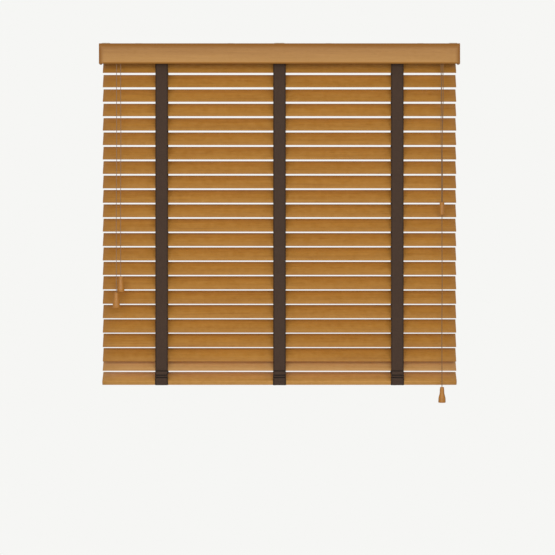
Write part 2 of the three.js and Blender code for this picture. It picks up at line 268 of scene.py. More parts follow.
def weave_group():
    """Twill: slanting ribs, threads that slant across them, and slubs along the web."""
    group, given, made = start_group(
        "Tape weave",
        {
            "On the cloth": (VECTOR, None),
            "Thread": (NUMBER, 0.0011),
            "Slub": (NUMBER, 0.5),
        },
        {"Shade": NUMBER, "Thread height": NUMBER},
    )
    split = place(group, "ShaderNodeSeparateXYZ", {0: given.outputs["On the cloth"]})
    turns = maths(group, "DIVIDE", 2 * math.pi, given.outputs["Thread"])
    across = times(group, split.outputs["X"], turns)
    along = times(group, split.outputs["Y"], turns)
    warp = maths(group, "SINE", maths(group, "ADD", across, times(group, along, 0.5)))
    weft = maths(group, "SINE", maths(group, "SUBTRACT", along, times(group, across, 0.5)))
    threads = times(group, maths(group, "MAXIMUM", warp, weft), 0.5)
    threads = maths(group, "ADD", threads, 0.5)
    slub = blotches(group, stretched(group, given.outputs["On the cloth"], (900.0, 45.0, 1.0)), 1.0, 2.0)
    wander = times(group, maths(group, "SUBTRACT", slub, 0.5), given.outputs["Slub"])
    shade = maths(group, "ADD", times(group, threads, 0.6), maths(group, "ADD", wander, 0.3))
    wire(group, ranged(group, shade, 0.0, 1.0), made.inputs["Shade"])
    wire(group, threads, made.inputs["Thread height"])
    return group


def braid_group():
    """Braided cord: strands that cross each other round it, from (along, turn) in metres and turns."""
    group, given, made = start_group(
        "Cord braid",
        {
            "On the cord": (VECTOR, None),
            "Plaits": (NUMBER, 420.0),
            "Strands": (NUMBER, 4.0),
        },
        {"Shade": NUMBER, "Strand height": NUMBER},
    )
    split = place(group, "ShaderNodeSeparateXYZ", {0: given.outputs["On the cord"]})
    along = times(group, split.outputs["X"], given.outputs["Plaits"])
    along = times(group, along, 2 * math.pi)
    turn = times(group, split.outputs["Y"], given.outputs["Strands"])
    turn = times(group, turn, 2 * math.pi)
    one_way = maths(group, "SINE", maths(group, "ADD", along, turn))
    other_way = maths(group, "SINE", maths(group, "SUBTRACT", along, turn))
    height = maths(group, "MAXIMUM", one_way, other_way)
    height = maths(group, "ADD", times(group, height, 0.5), 0.5)
    fade = blotches(group, stretched(group, given.outputs["On the cord"], (35.0, 1.0, 1.0)), 1.0, 2.0)
    shade = maths(group, "ADD", times(group, height, 0.6), times(group, fade, 0.4))
    wire(group, shade, made.inputs["Shade"])
    wire(group, height, made.inputs["Strand height"])
    return group


def moulded_skin_group():
    """The faint unevenness of enamel, nylon and moulded plastic."""
    group, given, made = start_group(
        "Moulded skin",
        {"Position": (VECTOR, None), "Grit": (NUMBER, 900.0), "Smears": (NUMBER, 25.0)},
        {"Grit height": NUMBER, "Smear": NUMBER},
    )
    grit = blotches(group, given.outputs["Position"], given.outputs["Grit"], 2.0, 0.5)
    smear = blotches(group, given.outputs["Position"], given.outputs["Smears"], 3.0, 0.6)
    wire(group, grit, made.inputs["Grit height"])
    wire(group, ranged(group, smear, 0.3, 0.7), made.inputs["Smear"])
    return group


OAK_GRAIN = oak_grain_group()
RUBBED_EDGES = rubbed_edge_group()
SETTLED_DUST = dust_group()
PAINTED_END_SHADE = painted_end_shade_group()
TAPE_WEAVE = weave_group()
CORD_BRAID = braid_group()
MOULDED_SKIN = moulded_skin_group()


def use(tree, group, inputs):
    node = tree.nodes.new("ShaderNodeGroup")
    node.node_tree = group
    for name, value in inputs.items():
        wire(tree, value, node.inputs[name])
    return node.outputs


# ---------- materials ----------
def blank(name):
    """A new material; gives it, its node tree and its Principled shader."""
    material = bpy.data.materials.new(name)
    material.use_nodes = True
    return material, material.node_tree, material.node_tree.nodes["Principled BSDF"]


def written(tree, name):
    """The position that the maker wrote on the piece, along its grain, cloth or cord."""
    return place(tree, "ShaderNodeAttribute", attribute_name=name).outputs["Vector"]


def bumped(tree, shader, height, distance, strength=1.0):
    inputs = {"Height": height, "Distance": distance, "Strength": strength}
    wire(tree, place(tree, "ShaderNodeBump", inputs).outputs["Normal"], shader.inputs["Normal"])


def oak(name, pale, deep, rubbed, ends=0.0, coat=0.25, gloss=0.5, dust=0.0):
    """Stained and lacquered oak; ends is how far painted shade darkens its ends towards the deep colour."""
    material, tree, shader = blank(name)
    at = written(tree, "grain")
    grain = use(tree, OAK_GRAIN, {
        "Along grain": at, "Pale wood": pale, "Deep wood": deep,
        "Figure": 0.35, "Streaks": 0.4, "Pores": 0.35,
    })
    edge = use(tree, RUBBED_EDGES, {"Position": at, "Reach": 0.5, "Patchiness": 45.0})
    colour = blended(tree, edge["Mask"], grain["Colour"], rubbed)
    veil = use(tree, SETTLED_DUST, {"Position": at, "Amount": dust})
    colour = blended(tree, veil["Mask"], colour, dye(190, 180, 165))
    # Painted shade: the board's ends darkened towards the deep colour.
    if ends:
        here = place(tree, "ShaderNodeTexCoord").outputs["Object"]
        end_shade = use(tree, PAINTED_END_SHADE, {"Position": here, "Half length": SLAT["length"] / 2, "Reach": 0.07})
        colour = blended(tree, times(tree, end_shade["Mask"], ends), colour, deep)
    wire(tree, colour, shader.inputs["Base Color"])
    wire(tree, grain["Lacquer"], shader.inputs["Roughness"])
    shader.inputs["Specular IOR Level"].default_value = gloss
    shader.inputs["Coat Weight"].default_value = coat
    shader.inputs["Coat Roughness"].default_value = 0.22
    bumped(tree, shader, grain["Pore depth"], 0.00012, 0.5)
    return material


def valance_oak():
    """The routed band is darkened with painted shade, and the flat face is painted paler towards its foot as
    painted light.
    """
    pale, deep, rubbed = dye(196, 138, 56), dye(160, 104, 36), dye(204, 150, 80)
    material = oak("Valance oak", pale, deep, rubbed, coat=0.1, gloss=0.4)
    tree = material.node_tree
    base = tree.nodes["Principled BSDF"].inputs["Base Color"]
    wood = base.links[0].from_socket
    where = place(tree, "ShaderNodeSeparateXYZ", {0: written(tree, "moulding")})
    # Painted shade on the routed band all round the margin.
    band = ranged(tree, where.outputs["X"], 0.25, 1.0, 0.85, 0.0)
    # Painted light: the flat face paler towards its foot.
    painted_foot_light = ranged(tree, where.outputs["Z"], 0.08, 0.75, 0.55, 0.0)
    colour = blended(tree, painted_foot_light, wood, dye(216, 160, 78))
    wire(tree, blended(tree, band, colour, dye(158, 100, 26)), base)
    return material


def tape_cloth():
    """Brown twill, near black along its selvedges, with painted shade inside its folds and at its foot."""
    material, tree, shader = blank("Tape cloth")
    cloth = written(tree, "cloth")
    weave = use(tree, TAPE_WEAVE, {"On the cloth": cloth})
    where = place(tree, "ShaderNodeSeparateXYZ", {0: cloth})
    across = maths(tree, "ABSOLUTE", where.outputs["X"])
    selvedge = ranged(tree, across, 0.0145, 0.0180, 0.0, 0.7)
    # The cloth's Z is painted shade in the folds and at the foot; it joins the selvedges' darkening.
    hollow = maths(tree, "MAXIMUM", selvedge, where.outputs["Z"])
    colour = blended(tree, weave["Shade"], dye(38, 26, 17), dye(92, 69, 53))
    wire(tree, blended(tree, hollow, colour, dye(18, 8, 2)), shader.inputs["Base Color"])
    shader.inputs["Roughness"].default_value = 0.85
    shader.inputs["Sheen Weight"].default_value = 0.05
    shader.inputs["Sheen Roughness"].default_value = 0.5
    bumped(tree, shader, weave["Thread height"], 0.00035)
    return material


def cord_yarn(name, dark, pale):
    material, tree, shader = blank(name)
    braid = use(tree, CORD_BRAID, {"On the cord": written(tree, "lay")})
    wire(tree, blended(tree, braid["Shade"], dark, pale), shader.inputs["Base Color"])
    shader.inputs["Roughness"].default_value = 0.75
    shader.inputs["Sheen Weight"].default_value = 0.05
    bumped(tree, shader, braid["Strand height"], 0.0003)
    return material


def shaped(name, colour, worn, roughness, metal=0.0, dust=0.0, grit=900.0):
    """Enamelled or bare metal, nylon or moulded plastic."""
    material, tree, shader = blank(name)
    at = place(tree, "ShaderNodeTexCoord").outputs["Object"]
    skin = use(tree, MOULDED_SKIN, {"Position": at, "Grit": grit})
    edge = use(tree, RUBBED_EDGES, {"Position": at, "Reach": 0.2, "Patchiness": 120.0})
    veil = use(tree, SETTLED_DUST, {"Position": at, "Amount": dust})
    mixed = blended(tree, edge["Mask"], colour, worn)
    mixed = blended(tree, veil["Mask"], mixed, dye(170, 163, 152))
    wire(tree, mixed, shader.inputs["Base Color"])
    rough = ranged(tree, skin["Smear"], 0.0, 1.0, roughness - 0.06, roughness + 0.08)
    wire(tree, maths(tree, "ADD", rough, veil["Mask"], clamp=True), shader.inputs["Roughness"])
    shader.inputs["Metallic"].default_value = metal
    bumped(tree, shader, skin["Grit height"], 0.00004)
    return material


def floor_paint():
    material, tree, shader = blank("Floor paint")
    at = place(tree, "ShaderNodeTexCoord").outputs["Object"]
    cloud = blotches(tree, at, 1.3, 2.0)
    wire(tree, blended(tree, cloud, dye(228, 228, 230), dye(236, 236, 238)), shader.inputs["Base Color"])
    shader.inputs["Roughness"].default_value = 0.8
    return material


# ends sets how strongly painted shade darkens each board's ends.
SLAT_OAK = oak("Slat oak", dye(216, 155, 66), dye(172, 112, 36), dye(224, 168, 86), ends=0.5, dust=0.02)
# Painted light: the lowest slat's oak is paler, for the light its flatter face catches.
PAINTED_LIGHT_LAST_SLAT_OAK = oak("Last slat oak painted lighter", dye(238, 186, 118), dye(204, 148, 80), dye(240, 194, 130), ends=0.8)
VALANCE_OAK = valance_oak()
# Painted light: the rail's oak is paler, for light its upturned face does not get from the lamps.
PAINTED_LIGHT_RAIL_OAK = oak(
    "Rail oak painted lighter", dye(232, 172, 88), dye(188, 130, 54), dye(240, 186, 110), ends=0.6, coat=0.1, gloss=0.35,
)
KNOB_OAK = oak("Knob oak", dye(214, 148, 62), dye(166, 102, 34), dye(224, 166, 92), coat=0.15, gloss=0.4)
TAPE_CLOTH = tape_cloth()
TILT_YARN = cord_yarn("Tilt cord yarn", dye(124, 94, 74), dye(184, 148, 120))
PULL_YARN = cord_yarn("Pull cord yarn", dye(112, 80, 52), dye(172, 132, 92))
CHANNEL_ENAMEL = shaped("Channel enamel", dye(226, 218, 200), dye(196, 188, 172), 0.38, dust=0.12)
BRACKET_ENAMEL = shaped("Bracket enamel", dye(220, 212, 194), dye(188, 180, 164), 0.42, dust=0.12)
ROD_ZINC = shaped("Rod zinc", dye(176, 178, 180), dye(215, 215, 214), 0.32, metal=1.0, grit=500.0)
HOUSING_PLASTIC = shaped("Housing plastic", dye(96, 66, 44), dye(132, 100, 74), 0.48, dust=0.2)
DRUM_NYLON = shaped("Drum nylon", dye(228, 222, 208), dye(240, 236, 226), 0.46, dust=0.15)
CLIP_PLASTIC = shaped("Clip plastic", dye(214, 208, 196), dye(232, 228, 220), 0.3)
FLOOR_PAINT = floor_paint()


# ---------- mesh helpers ----------
def write_vectors(mesh, name, vectors):
    attribute = mesh.attributes.new(name, "FLOAT_VECTOR", "POINT")
    attribute.data.foreach_set("vector", [value for vector in vectors for value in vector])


def new_piece(name, mesh, material, smooth=38):
    mesh.name = name
    mesh.shade_smooth()
    mesh.set_sharp_from_angle(angle=math.radians(smooth))
    mesh.materials.clear()
    mesh.materials.append(material)
    obj = bpy.data.objects.new(name, mesh)
    bpy.context.scene.collection.objects.link(obj)
    return obj


def mesh_from(rows):
    """A skin over closed rings of points, capped at both ends."""
    bm = bmesh.new()
    verts = [[bm.verts.new(point) for point in row] for row in rows]
    count = len(verts[0])
    for here, there in zip(verts, verts[1:]):
        for i in range(count):
            j = (i + 1) % count
            bm.faces.new((here[i], here[j], there[j], there[i]))
    bm.faces.new(reversed(verts[0]))
    bm.faces.new(verts[-1])
    bmesh.ops.recalc_face_normals(bm, faces=bm.faces)
    mesh = bpy.data.meshes.new("skin")
    bm.to_mesh(mesh)
    bm.free()
    return mesh


def join(meshes):
    """One mesh of several, each with its own vectors kept."""
    bm = bmesh.new()
    for mesh in meshes:
        bm.from_mesh(mesh)
        bpy.data.meshes.remove(mesh)
    joined = bpy.data.meshes.new("joined")
    bm.to_mesh(joined)
    bm.free()
    return joined


def eased_section(width, thick, arris, steps):
    """A board's section, (across, up) points, with its four arrises rounded over."""
    points = []
    for quarter, (side, rise) in enumerate(((1, 1), (-1, 1), (-1, -1), (1, -1))):
        middle = (side * (width / 2 - arris), rise * (thick / 2 - arris))
        for step in range(steps + 1):
            angle = math.pi / 2 * (quarter + step / steps)
            points.append((middle[0] + arris * math.cos(angle), middle[1] + arris * math.sin(angle)))
    return points


def board(length, width, thick, arris):
    """A board along X, centred on the origin, with eased arrises and ends."""
    rows = []
    for side in (-1, 1):
        ends = []
        for ease in (1.0, 0.4, 0.1, 0.0):
            inset = arris * 0.7 * ease
            x = side * (length / 2 - arris * 0.7 * (1 - ease) ** 2)
            section = eased_section(width - 2 * inset, thick - 2 * inset, arris - inset, ARRIS_STEPS)
            ends.append([(x, y, z) for y, z in section])
        rows += ends if side < 0 else ends[::-1]
    return mesh_from(rows)


def slot_cutter(x, long, wide, deep):
    """A plug the shape of a cord slot, long across the board, with round ends."""
    reach, radius = long / 2 - wide / 2, wide / 2
    outline = []
    for end in (1, -1):
        for step in range(9):
            angle = math.pi * step / 8 + (0 if end > 0 else math.pi)
            outline.append((x + radius * math.cos(angle), end * reach + radius * math.sin(angle)))
    return mesh_from([[(px, py, z) for px, py in outline] for z in (-deep, deep)])


def cut(mesh, cutters):
    """Cuts the cutters out of the mesh and gives the mesh that is left."""
    base = bpy.data.objects.new("base", mesh)
    tool = bpy.data.objects.new("tool", join(cutters))
    for obj in (base, tool):
        bpy.context.scene.collection.objects.link(obj)
    modifier = base.modifiers.new("cut", "BOOLEAN")
    modifier.operation = "DIFFERENCE"
    modifier.solver = "EXACT"
    modifier.object = tool
    depsgraph = bpy.context.evaluated_depsgraph_get()
    result = bpy.data.meshes.new_from_object(base.evaluated_get(depsgraph))
    bpy.data.objects.remove(base)
    bpy.data.objects.remove(tool)
    return result


def slotted_board(size, slot):
    plank = board(size["length"], size["width"], size["thick"], size["arris"])
    cutters = [slot_cutter(x, slot, ROUT["wide"], size["thick"]) for x in LADDERS.values()]
    return cut(plank, cutters)


def write_grain(mesh, offset, upright=False):
    """Writes where each point lies in the timber; upright turns the grain along Z."""
    vectors = []
    for vertex in mesh.vertices:
        x, y, z = vertex.co
        along = (z, y, x) if upright else (x, y, z)
        vectors.append(Vector(along) + offset)
    write_vectors(mesh, "grain", vectors)


def timber_offset():
    """Somewhere else in the log, so that no two boards match."""
    return Vector((chance.uniform(0, 9), chance.uniform(0, 3), chance.uniform(0, 3)))


def on_board(centre, tilt, along, up):
    """A point of a tilted board: along its width towards the back, and up off its face."""
    a = math.radians(tilt)
    y = centre[1] + along * math.cos(a) - up * math.sin(a)
    z = centre[2] + along * math.sin(a) + up * math.cos(a)
    return y, z


def tilted(centre, tilt):
    return Matrix.Translation(centre) @ Matrix.Rotation(math.radians(tilt), 4, "X")


def smooth_line(points, steps=6):
    """A smooth line through points of any size, with steps between each two."""
    spots = [Vector(p) for p in points]
    spots = [spots[0] * 2 - spots[1]] + spots + [spots[-1] * 2 - spots[-2]]
    line = []
    for a, b, c, d in zip(spots, spots[1:], spots[2:], spots[3:]):
        for step in range(steps):
            t = step / steps
            line.append(
                (b * 2 + (c - a) * t + (a * 2 - b * 5 + c * 4 - d) * t ** 2
                 + (b * 3 - a - c * 3 + d) * t ** 3) / 2
            )
    return line + [spots[-2]]


def turned(profile, sides=40):
    """A turned piece on the Z axis from (radius, height) points, closed at both ends."""
    rows = []
    for radius, height in profile:
        ring = []
        for side in range(sides):
            angle = 2 * math.pi * side / sides
            ring.append((radius * math.cos(angle), radius * math.sin(angle), height))
        rows.append(ring)
    return mesh_from(rows)


def tube(path, radius, sides=10):
    """A round cord along a path, with its braid's (along, turn) written on it."""
    points = [Vector(p) for p in path]
    rows, lay, travelled = [], [], 0.0
    across = Vector((1, 0, 0))
    for i, point in enumerate(points):
        ahead = points[min(i + 1, len(points) - 1)] - points[max(i - 1, 0)]
        ahead.normalize()
        across = across - ahead * across.dot(ahead)
        if across.length < 1e-4:
            across = Vector((0, 1, 0)) - ahead * ahead.y
        across.normalize()
        other = ahead.cross(across)
        if i:
            travelled += (point - points[i - 1]).length
        ring = []
        for side in range(sides):
            angle = 2 * math.pi * side / sides
            ring.append(point + across * radius * math.cos(angle) + other * radius * math.sin(angle))
            lay.append((travelled, side / sides, 0.0))
        rows.append(ring)
    mesh = mesh_from(rows)
    write_vectors(mesh, "lay", lay)
    return mesh


def block(low, high, arris=0.0006):
    """A box from corner to corner with rounded arrises."""
    size = [h - l for l, h in zip(low, high)]
    mesh = board(size[0], size[1], size[2], min(arris, 0.45 * min(size)))
    middle = [(h + l) / 2 for l, h in zip(low, high)]
    mesh.transform(Matrix.Translation(middle))
    return mesh


# ---------- camera ----------
def camera():
    lens = bpy.data.cameras.new("Camera")
    lens.sensor_width = SENSOR
    lens.lens = SENSOR * -EYE.y / VIEW_WIDTH
    lens.clip_end = 60
    eye = bpy.data.objects.new("Camera", lens)
    eye.location = EYE
    eye.rotation_euler = (math.pi / 2, 0, 0)
    bpy.context.scene.collection.objects.link(eye)
    bpy.context.scene.camera = eye


# ---------- cords and what hangs on them ----------
def knob(name, axis, top, profile, node, body):
    """A turned wooden knob below a point on its axis, its grain upright."""
    mesh = turned(smooth_line(profile, 5))
    write_grain(mesh, timber_offset(), upright=True)
    mesh.transform(Matrix.Translation((axis[0], axis[1], top)))
    obj = new_piece(name, mesh, KNOB_OAK, smooth=50)
    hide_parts(node)
    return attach(obj, body)


def bell_profile(tall, neck, skirt):
    """From the cord hole over the neck, down the flare, round the lip and into the hollow."""
    return [
        (0.0012, -0.0015), (0.0016, -0.0002), (neck * 0.82, 0.0), (neck * 0.98, -0.0012),
        (neck * 1.03, -0.0035), (neck * 1.12, -tall * 0.2), (neck * 1.25, -tall * 0.42),
        (skirt * 0.92, -tall * 0.66), (skirt * 0.975, -tall * 0.82), (skirt, -tall * 0.915),
        (skirt * 0.965, -tall * 0.975), (skirt * 0.84, -tall), (skirt * 0.6, -tall * 0.998),
        (skirt * 0.5, -tall * 0.97), (skirt * 0.42, -tall * 0.86), (0.0012, -tall * 0.84),
    ]


def barrel_profile(tall, neck, radius):
    """A short cylinder, rounded over at the shoulder and barely eased at the foot."""
    return [
        (0.0014, -0.0012), (0.0024, -0.0002), (neck * 0.85, 0.0), (radius * 0.86, -0.0010),
        (radius * 0.95, -0.0030), (radius * 0.98, -tall * 0.25), (radius, -tall * 0.6),
        (radius * 0.99, -tall * 0.93), (radius * 0.94, -tall * 0.985), (radius * 0.8, -tall),
        (radius * 0.4, -tall), (0.0014, -tall + 0.0015),
    ]


def knot(centre, radius):
    """A small overhand knot: a fat uneven bead of the cord itself."""
    path = []
    for step in range(19):
        angle = 4 * math.pi * step / 18
        r = radius * (0.5 + 0.12 * math.sin(2 * angle))
        path.append((
            centre[0] + r * math.cos(angle), centre[1] + r * math.sin(angle),
            centre[2] + radius * (step / 18 - 0.5),
        ))
    return tube(path, radius * 0.5, 8)


def hanging_path(start, end, sway):
    """Down from start to end, straight under the weight below, with a trace of old creases."""
    a, b = Vector(start), Vector(end)
    path = []
    for step in range(CORD_STEPS + 1):
        t = step / CORD_STEPS
        crease = sway * math.sin(math.pi * t) * math.sin(9.0 * t + sway * 9000)
        path.append(a.lerp(b, t) + Vector((crease, crease * 0.6, 0)))
    return path


def hang_cord(name, path, thick, yarn, upper, lower, nodes):
    """A free cord that hangs from one body and carries a knob on another."""
    obj = new_piece(name, tube(path, thick / 2), yarn, smooth=80)
    if nodes:
        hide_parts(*nodes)
    if upper == lower:
        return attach(obj, upper)
    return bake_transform(obj)


def tilt_cords():
    """Left: two cords off the tilter's pulley, each through a flared acorn."""
    for letter in ("a", "b"):
        body = "tilt_acorn_" + letter
        low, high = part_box(body)
        axis = ((low.x + high.x) / 2, (low.y + high.y) / 2)
        tall = high.z - low.z
        profile = bell_profile(tall, NECK["acorn"], (high.x - low.x) / 2)
        acorn = knob("acorn_" + letter, axis, high.z, profile, body, body)
        start = (axis[0], CORD_Y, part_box("tilt_cord_" + letter)[1].z)
        path = hanging_path(start, (*axis, high.z - 0.001), SWAY)
        node = "tilt_cord_" + letter
        hang_cord(node + "_braid", path, CORD_THICK, TILT_YARN, "headrail", body, [node])
        end = new_piece(node + "_knot", knot((*axis, low.z + tall * 0.1), KNOT["tilt"]), TILT_YARN, 80)
        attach(end, body)


def pull_cords():
    """Right: three strands out of the cord lock, the equaliser, one cord and the tassel."""
    low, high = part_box("cord_equaliser")
    axis = ((low.x + high.x) / 2, (low.y + high.y) / 2)
    profile = barrel_profile(high.z - low.z, NECK["barrel"], (high.x - low.x) / 2)
    barrel = knob("equaliser", axis, high.z, profile, "cord_equaliser", "lift_pull")
    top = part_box("pull_cord_upper")[1].z
    for number, spread in enumerate((-0.0034, 0.0004, 0.0036)):
        start = (axis[0] + spread, axis[1] + 0.0012 * (number % 2), top)
        end = (axis[0] + spread * 0.35, axis[1] + 0.0011 * (number % 2), high.z - 0.0006)
        path = hanging_path(start, end, 0.0007 + 0.0003 * number)
        nodes = ["pull_cord_upper"] if number == 1 else []
        name = f"pull_strand_{number + 1}"
        hang_cord(name, path, CORD_THICK, PULL_YARN, "headrail", "lift_pull", nodes)
    t_low, t_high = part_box("lift_tassel")
    tall = t_high.z - t_low.z
    profile = bell_profile(tall, NECK["tassel"], (t_high.x - t_low.x) / 2)
    tassel = knob("tassel", axis, t_high.z, profile, "lift_tassel", "lift_pull")
    path = hanging_path((*axis, low.z + 0.0006), (*axis, t_high.z - 0.001), SWAY)
    hang_cord(
        "pull_cord_braid", path, PULL_THICK, PULL_YARN, "lift_pull", "lift_pull",
        ["pull_cord_lower"],
    )
    end = new_piece("pull_cord_knot", knot((*axis, t_low.z + tall * 0.1), KNOT["pull"]), PULL_YARN, 80)
    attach(end, "lift_pull")


# ---------- boards ----------
def slat_name(number):
    return f"slat_{number:02d}"


def slat_spot(number):
    """The middle of a slat and its tilt."""
    name = "slat_tilt" if number == 1 else f"tilt_{number:02d}"
    joint = next(j for j in frame["joints"] if j["name"] == name)
    tilt = LAST_SLAT_TILT if number == SLAT_COUNT else SLAT_TILT
    return Vector(joint["pos_m"]), tilt


def rail_spot():
    joint = next(j for j in frame["joints"] if j["name"] == "rail_tilt")
    return Vector(joint["pos_m"]), RAIL_TILT


def slats():
    pattern = slotted_board(SLAT, ROUT["slat"])
    for number in range(1, SLAT_COUNT + 1):
        mesh = pattern.copy()
        write_grain(mesh, timber_offset())
        # The lowest slat takes the oak painted lighter.
        finish = PAINTED_LIGHT_LAST_SLAT_OAK if number == SLAT_COUNT else SLAT_OAK
        obj = new_piece(slat_name(number) + "_oak", mesh, finish)
        obj.matrix_world = tilted(*slat_spot(number))
        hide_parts(slat_name(number))
        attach(obj, slat_name(number))


def bottom_rail():
    mesh = slotted_board(RAIL, ROUT["rail"])
    write_grain(mesh, timber_offset())
    obj = new_piece("bottom_rail_oak", mesh, PAINTED_LIGHT_RAIL_OAK)
    obj.matrix_world = tilted(*rail_spot())
    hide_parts("bottom_rail")
    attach(obj, "bottom_rail")


def rail_buttons():
    """Turned buttons pressed into the rail's underside over the tape ends and the knots."""
    for side, x in LADDERS.items():
        profile = [
            (0.0002, 0.002), (0.0075, 0.002), (0.0075, 0.0), (0.0098, 0.0),
            (0.0100, -0.0008), (0.0094, -0.0018), (0.0070, -0.0026), (0.0002, -0.0030),
        ]
        mesh = turned(profile, 32)
        obj = new_piece("rail_button_" + side, mesh, DRUM_NYLON)
        offset = Matrix.Translation((x, 0, -RAIL["thick"] / 2 - WEB["thick"] - 0.0004))
        obj.matrix_world = tilted(*rail_spot()) @ offset
        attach(obj, "bottom_rail")


# ---------- valance ----------
def frame_ring(ends, top, bottom, corner, y):
    """A rectangle with rounded corners, set in from the valance's outline."""
    high = VALANCE["top"] - top
    low = VALANCE["top"] - VALANCE["tall"] + bottom
    section = eased_section(2 * (VALANCE_HALF - ends), high - low, corner, CORNER_STEPS)
    return [(x, y, (high + low) / 2 + z) for x, z in section]


def routed_edge():
    """The moulding from the board's back edge to its flat face: (share of margin, thickness)."""
    yield 0.0, 0.0
    yield 0.0, VALANCE["edge"] - 0.0008
    yield 0.03, VALANCE["edge"] - 0.0002
    for step in range(13):
        share = step / 12
        round_over = 1 - (1 - share) ** 2.2
        yield 0.05 + 0.95 * share, VALANCE["edge"] + (VALANCE["thick"] - VALANCE["edge"]) * round_over


def write_moulding(mesh, shares):
    """Writes how far in from the outline each point is, and how high up the board."""
    foot = VALANCE["top"] - VALANCE["tall"]
    heights = [(vertex.co.z - foot) / VALANCE["tall"] for vertex in mesh.vertices]
    write_vectors(mesh, "moulding", [(share, 0.0, height) for share, height in zip(shares, heights)])


def valance():
    back = VALANCE["front"] + VALANCE["thick"]
    rows, shares = [], []
    for share, thick in routed_edge():
        rows.append(frame_ring(
            MARGIN["end"] * share, MARGIN["top"] * share, MARGIN["bottom"] * share,
            0.0008 + 0.0060 * share, back - thick,
        ))
        shares += [share] * len(rows[-1])
    mesh = mesh_from(rows)
    write_grain(mesh, timber_offset())
    write_moulding(mesh, shares)
    face = new_piece("valance_face", mesh, VALANCE_OAK, smooth=50)
    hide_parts("valance")
    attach(face, "headrail")
    for side in (-1, 1):
        inner, outer = sorted((side * (VALANCE_HALF - VALANCE["thick"]), side * VALANCE_HALF))
        low = (inner, back + 0.0001, VALANCE["top"] - VALANCE["tall"])
        high = (outer, VALANCE["back"], VALANCE["top"])
        mesh = block(low, high, 0.0012)
        write_grain(mesh, timber_offset())
        # The returns get part of the routed band's painted shade.
        write_moulding(mesh, [0.3] * len(mesh.vertices))
        end = new_piece("valance_return_" + ("left" if side < 0 else "right"), mesh, VALANCE_OAK)
        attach(end, "headrail")


def valance_clips():
    """Spring clips that hook over the channel's front edge and grip the valance's back."""
    back = VALANCE["front"] + VALANCE["thick"]
    for number, x in enumerate(CLIP_PLACES):
        parts = [
            block((x - 0.011, back + 0.0002, -0.046), (x + 0.011, back + 0.0018, -0.006)),
            block((x - 0.009, back + 0.0002, -0.0075), (x + 0.009, -0.0245, -0.0060)),
            block((x - 0.009, back + 0.0002, -0.0455), (x + 0.009, -0.0290, -0.0440)),
            block((x - 0.009, -0.0262, -0.0060), (x + 0.009, -0.0248, -0.0005)),
        ]
        obj = new_piece(f"valance_clip_{number + 1}", join(parts), CLIP_PLASTIC)
        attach(obj, "headrail")


# ---------- ladder tapes ----------
def cloth_section(width, thick):
    """Across a tape: (across, out) points round both faces, fuller at the selvedges."""
    half, steps = width / 2, 10
    face = []
    for step in range(steps + 1):
        across = -half + width * step / steps
        edge = abs(across) / half
        full = 1.0 + 0.35 * max(0.0, edge - 0.72) / 0.28
        if edge > 0.99:
            full = 0.45
        face.append((across, thick / 2 * full))
    return face + [(across, -out) for across, out in reversed(face)]


def web(x, line, widths, thick=WEB["thick"], painted_tape_shade=None):
    """A cloth band along (y, z) points at the ladder's place, with its weave and its painted shade written.
    """
    rows, cloth, travelled = [], [], chance.uniform(0, 3)
    painted_tape_shade = painted_tape_shade or [0.0] * len(line)
    for i, (y, z) in enumerate(line):
        before, after = line[max(i - 1, 0)], line[min(i + 1, len(line) - 1)]
        ahead = Vector((after[0] - before[0], after[1] - before[1])).normalized()
        out = (-ahead.y, ahead.x)
        if i:
            travelled += math.dist(line[i], line[i - 1])
        row = []
        for across, rise in cloth_section(widths[i], thick):
            sway = 0.00035 * noise.noise(Vector((across * 90, z * 30, x * 7)))
            row.append((x + across, y + out[0] * (rise + sway), z + out[1] * (rise + sway)))
            # The third value is the painted shade at this point.
            cloth.append((across, travelled, painted_tape_shade[i]))
        rows.append(row)
    mesh = mesh_from(rows)
    write_vectors(mesh, "cloth", cloth)
    return mesh


def straight_web(front, top, bottom):
    """Beside the slats' edges, drawn in a little where each rung pulls on it."""
    side = -1 if front else 1
    edge = -SLAT["width"] / 2 if front else SLAT["width"] / 2
    first = slat_spot(1)[0].z + edge * math.sin(math.radians(SLAT_TILT))
    pitch = slat_spot(1)[0].z - slat_spot(2)[0].z
    steps = round((top - bottom) / 0.004)
    line = []
    for step in range(steps + 1):
        z = top + (bottom - top) * step / steps
        swell = 0.0003 * math.cos(2 * math.pi * (z - first) / pitch)
        line.append((side * (WEB["y"] - swell), z))
    return line


def crease_at(z, top):
    """How deep inside a fold of the gathered tape a height is, from 0 outside to 1."""
    nearest = min(abs(top - below - z) for below in CREASES["below_slat"])
    return math.exp(-(nearest / CREASES["sharp"]) ** 2)


def gathered(start, end):
    """Spare tape between two points, laid in folds that bulge out between sharp creases."""
    a, b = Vector(start), Vector(end)
    steps = round((a - b).length / 0.0005)
    line = []
    for step in range(1, steps + 1):
        t = step / steps
        point = a.lerp(b, t)
        fullness = math.sin(math.pi * min(1.0, 6 * min(t, 1 - t)) / 2)
        out = CREASES["bulge"] - (CREASES["bulge"] + CREASES["deep"]) * crease_at(point.y, start[1])
        line.append((point.x - out * fullness, point.y))
    return line


def carry_on(line, end, steps):
    """Carries a line straight on to a point, in equal steps."""
    start = line[-1]
    for step in range(1, steps + 1):
        t = step / steps
        line.append((start[0] + (end[0] - start[0]) * t, start[1] + (end[1] - start[1]) * t))


